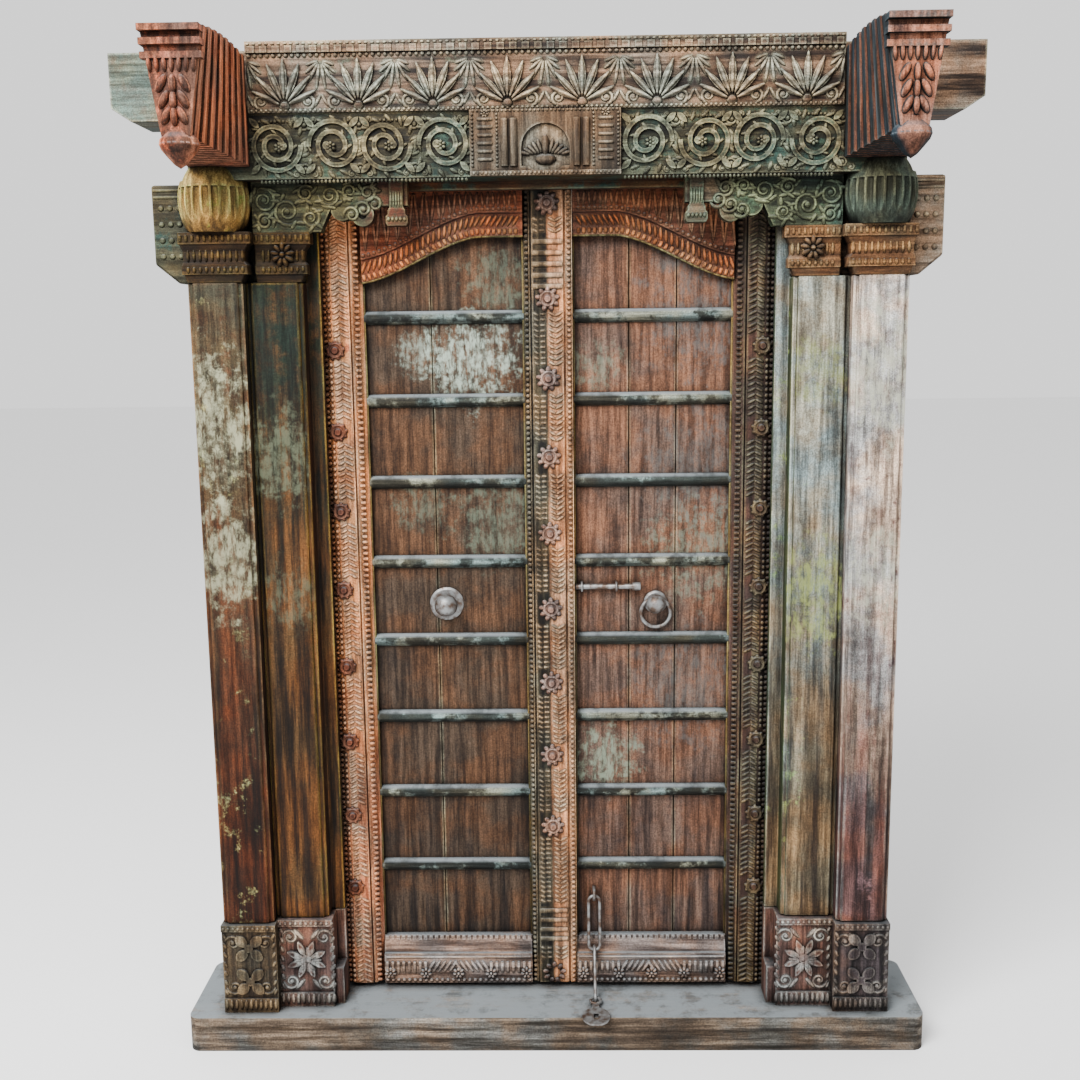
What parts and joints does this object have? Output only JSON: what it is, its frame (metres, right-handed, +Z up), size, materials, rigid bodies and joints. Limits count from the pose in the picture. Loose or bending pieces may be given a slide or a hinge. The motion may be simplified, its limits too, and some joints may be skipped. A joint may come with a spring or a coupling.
{
  "type": "carved double door with frame",
  "caption": "Weathered carved double-leaf temple door in its timber frame, with posts, capitals, projecting brackets, friezes and iron fittings",
  "frame": {"origin": "middle of the sill's underside", "axes": "+X to the right seen from the front, +Y to the back (the leaves open that way), +Z up"},
  "size_m": [2.076, 0.634, 2.515],
  "materials": {
    "sill_wood": "dusty, worn bare",
    "plinth_wood": "carved, weathered",
    "post_wood": "old paint, mostly worn off",
    "capital_wood": "carved, worn ochre and green paint",
    "bolster_wood": "weathered, traces of teal paint",
    "bracket_wood": "reeded, worn red paint",
    "spandrel_wood": "carved, worn green paint",
    "frieze_wood": "carved, worn olive paint",
    "cornice_wood": "carved, dusty",
    "leaf_frame_wood": "carved, worn terracotta paint",
    "board_wood": "dark, with paint remnants",
    "batten_wood": "worn grey and teal paint",
    "iron": "dull, slightly rusted"
  },
  "bodies": {
    "frame": {"sill": "sill_wood", "left_outer_plinth": "plinth_wood", "left_inner_plinth": "plinth_wood", "right_outer_plinth": "plinth_wood", "right_inner_plinth": "plinth_wood", "left_outer_post": "post_wood", "left_inner_post": "post_wood", "right_outer_post": "post_wood", "right_inner_post": "post_wood", "left_outer_capital": "capital_wood", "left_inner_capital": "capital_wood", "right_outer_capital": "capital_wood", "right_inner_capital": "capital_wood", "left_bolster": "bolster_wood", "right_bolster": "bolster_wood", "left_cushion": "capital_wood", "right_cushion": "capital_wood", "left_bracket": "bracket_wood", "right_bracket": "bracket_wood", "left_spandrel": "spandrel_wood", "right_spandrel": "spandrel_wood", "lintel": "frieze_wood", "niche_panel": "frieze_wood", "cornice": "cornice_wood"},
    "left_leaf": {"left_hanging_stile": "leaf_frame_wood", "left_meeting_stile": "leaf_frame_wood", "left_top_rail": "leaf_frame_wood", "left_bottom_rail": "leaf_frame_wood", "left_board_1": "board_wood", "left_board_2": "board_wood", "left_battens": "batten_wood", "left_stile_bosses": "leaf_frame_wood", "left_meeting_bosses": "leaf_frame_wood", "left_rose": "iron", "left_knob": "iron", "left_top_pivot": "iron", "left_bottom_pivot": "iron"},
    "right_leaf": {"right_hanging_stile": "leaf_frame_wood", "right_top_rail": "leaf_frame_wood", "right_bottom_rail": "leaf_frame_wood", "right_board_1": "board_wood", "right_board_2": "board_wood", "right_board_3": "board_wood", "right_battens": "batten_wood", "right_stile_bosses": "leaf_frame_wood", "right_rose": "iron", "right_knob": "iron", "right_top_pivot": "iron", "right_bottom_pivot": "iron", "bolt_staples": "iron", "chain_staple": "iron"},
    "ring_pull_body": {"ring_pull": "iron"},
    "slide_bolt_body": {"slide_bolt": "iron"},
    "chain_link_1_body": {"chain_link_1": "iron"},
    "chain_link_2_body": {"chain_link_2": "iron"},
    "chain_hasp_body": {"chain_hasp": "iron"}
  },
  "joints": [
    {"name": "left_leaf_swing", "type": "hinge", "parent": "frame", "child": "left_leaf", "pos_m": [-0.537, 0.041, 0.105], "axis": [0, 0, 1], "range_deg": [0, 95]},
    {"name": "right_leaf_swing", "type": "hinge", "parent": "frame", "child": "right_leaf", "pos_m": [0.537, 0.041, 0.105], "axis": [0, 0, -1], "range_deg": [0, 95]},
    {"name": "ring_lift", "type": "hinge", "parent": "right_leaf", "child": "ring_pull_body", "pos_m": [0.272, 0.0332, 1.16499], "axis": [-1, 0, 0], "range_deg": [0, 18]},
    {"name": "bolt_slide", "type": "slide", "parent": "right_leaf", "child": "slide_bolt_body", "axis": [-1, 0, 0], "range_m": [0, 0.038]},
    {"name": "upper_link_lift", "type": "hinge", "parent": "right_leaf", "child": "chain_link_1_body", "pos_m": [0.108, 0.026, 0.3463], "axis": [-1, 0, 0], "range_deg": [0, 60]},
    {"name": "lower_link_lift", "type": "hinge", "parent": "chain_link_1_body", "child": "chain_link_2_body", "pos_m": [0.108, -0.00148, 0.20495], "axis": [-1, 0, 0], "range_deg": [0, 45]},
    {"name": "hasp_lift", "type": "hinge", "parent": "chain_link_2_body", "child": "chain_hasp_body", "pos_m": [0.108, -0.07342, 0.10592], "axis": [-1, 0, 0], "range_deg": [0, 45]}
  ]
}
